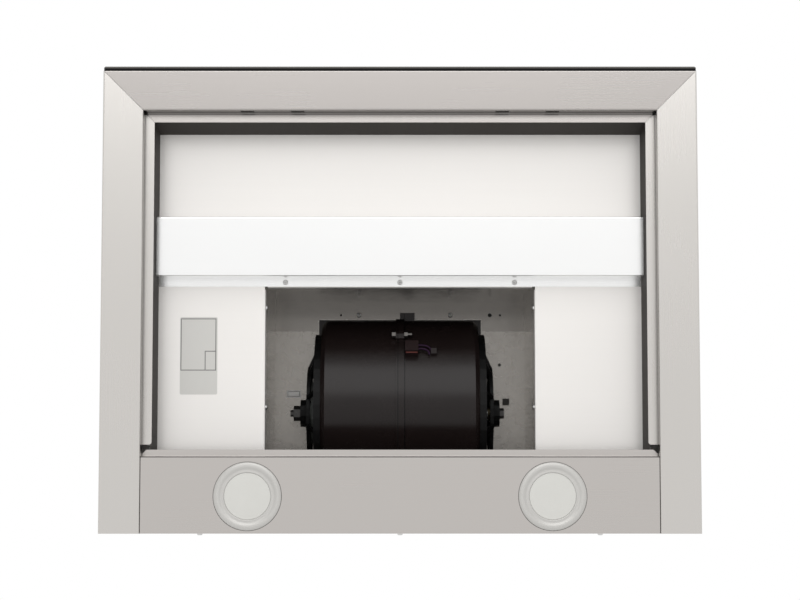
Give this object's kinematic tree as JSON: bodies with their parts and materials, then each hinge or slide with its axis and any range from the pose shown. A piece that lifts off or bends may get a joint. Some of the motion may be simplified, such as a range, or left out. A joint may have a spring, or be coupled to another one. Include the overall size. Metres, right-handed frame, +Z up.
{
  "type": "wall-mounted chimney cooker hood",
  "caption": "Slim stainless wall hood with a black glass front strip, lamps in its rear bar, a double-inlet blower seen through the open filter recess, and a telescopic chimney.",
  "frame": {"origin": "middle of the canopy's width and depth, on the plane of its underside", "axes": "+X to the right seen from the front, +Y towards the wall, +Z up"},
  "size_m": [0.6, 0.4719, 0.505],
  "materials": {
    "stainless": "brushed, satin",
    "cover_steel": "fine satin",
    "housing_steel": "semi-gloss",
    "lining": "gloss",
    "front_glass": "gloss, opaque black",
    "black_plastic": "semi-gloss",
    "collar_plastic": "matt",
    "unit_plastic": "matt",
    "bezel": "satin",
    "lens": "frosted",
    "aluminium": "cast, satin",
    "motor_metal": "cast, satin",
    "screw_steel": "bright zinc",
    "shaft_steel": "ground",
    "bush_metal": "satin",
    "connector_plastic": "matt",
    "lead_sleeve": "matt",
    "grommet_rubber": "matt"
  },
  "bodies": {
    "hood": {"axle_bolt": "screw_steel", "axle_nut": "screw_steel", "blower_screws": "screw_steel", "box_back": "housing_steel", "box_front": "housing_steel", "box_left": "housing_steel", "box_right": "housing_steel", "box_screw_1": "screw_steel", "box_screw_2": "screw_steel", "box_screw_3": "screw_steel", "box_screw_4": "screw_steel", "box_top": "housing_steel", "canopy_deck": "stainless", "chimney_lower": "stainless", "chimney_screws": "screw_steel", "control_unit": "unit_plastic", "cover_screw_1": "screw_steel", "cover_screw_2": "screw_steel", "cover_screw_3": "screw_steel", "flap_pin": "shaft_steel", "front_glass": "front_glass", "front_rail": "stainless", "grommet": "grommet_rubber", "guard_left": "black_plastic", "guard_right": "black_plastic", "hub_washer_left": "grommet_rubber", "hub_washer_right": "grommet_rubber", "lamp_bezel_left": "bezel", "lamp_bezel_right": "bezel", "lamp_can_left": "aluminium", "lamp_can_right": "aluminium", "lamp_driver": "unit_plastic", "lamp_lens_left": "lens", "lamp_lens_right": "lens", "lead_connector": "connector_plastic", "left_rail": "stainless", "light_panel": "stainless", "lining_front": "lining", "lining_left": "lining", "lining_right": "lining", "motor_body": "motor_metal", "motor_lead": "lead_sleeve", "outlet_collar": "collar_plastic", "plate_screws": "screw_steel", "rear_panel": "stainless", "rear_screw_1": "screw_steel", "rear_screw_2": "screw_steel", "rear_screw_3": "screw_steel", "right_rail": "stainless", "scroll_left": "black_plastic", "scroll_right": "black_plastic", "seam_bolt": "screw_steel", "shaft_bush": "bush_metal", "touch_unit": "black_plastic", "wiring_cover": "cover_steel"},
    "fan": {"drive_shaft": "shaft_steel", "impeller": "black_plastic"},
    "flap_left": {"flap_left": "collar_plastic"},
    "flap_right": {"flap_right": "collar_plastic"},
    "upper_cover": {"chimney_upper": "stainless"}
  },
  "joints": [
    {"name": "fan_spin", "type": "hinge", "parent": "hood", "child": "fan", "pos_m": [0, 0.111, 0.16], "axis": [1, 0, 0], "continuous": true},
    {"name": "flap_left_swing", "type": "hinge", "parent": "hood", "child": "flap_left", "pos_m": [0, 0.111, 0.2869], "axis": [0, 1, 0], "range_deg": [0, 75]},
    {"name": "flap_right_swing", "type": "hinge", "parent": "hood", "child": "flap_right", "pos_m": [0, 0.111, 0.2869], "axis": [0, -1, 0], "range_deg": [0, 75]},
    {"name": "upper_cover_slide", "type": "slide", "parent": "hood", "child": "upper_cover", "axis": [0, 0, 1], "range_m": [0, 0.32]}
  ]
}
